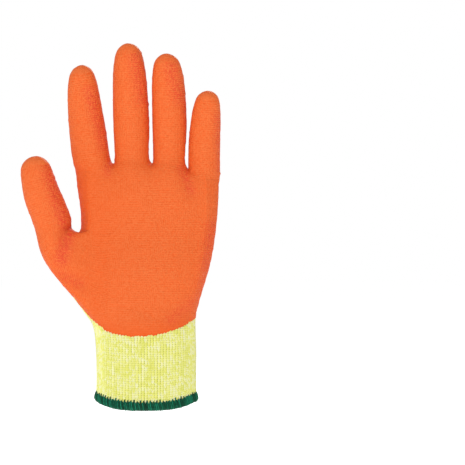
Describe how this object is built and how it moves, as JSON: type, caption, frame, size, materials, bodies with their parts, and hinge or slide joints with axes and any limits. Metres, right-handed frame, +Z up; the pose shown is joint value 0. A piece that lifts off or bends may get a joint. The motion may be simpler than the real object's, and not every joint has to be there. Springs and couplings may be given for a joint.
{
  "type": "latex coated grip glove",
  "caption": "Seamless knitted work glove for the left hand, dipped in grippy latex over the palm, fingers and thumb, with an overlocked cuff.",
  "frame": {"origin": "middle of the wrist opening, level with the lowest point of the hem", "axes": "+Z up the hand to the fingertips, -Y out of the palm, -X towards the thumb"},
  "size_m": [0.1361, 0.0508, 0.2502],
  "materials": {
    "knit": "light yellow marl yarn in plain knit, matt",
    "latex": "orange natural latex with a fine crinkle, matt",
    "overlock": "dark green overlock thread"
  },
  "bodies": {
    "root": {"knit_cuff": "knit", "knit_palm": "knit", "knit_index": "knit", "knit_middle": "knit", "knit_ring": "knit", "knit_little": "knit", "knit_thumb_base": "knit", "knit_thumb": "knit", "latex_coating": "latex", "cuff_overlock": "overlock"}
  },
  "joints": []
}
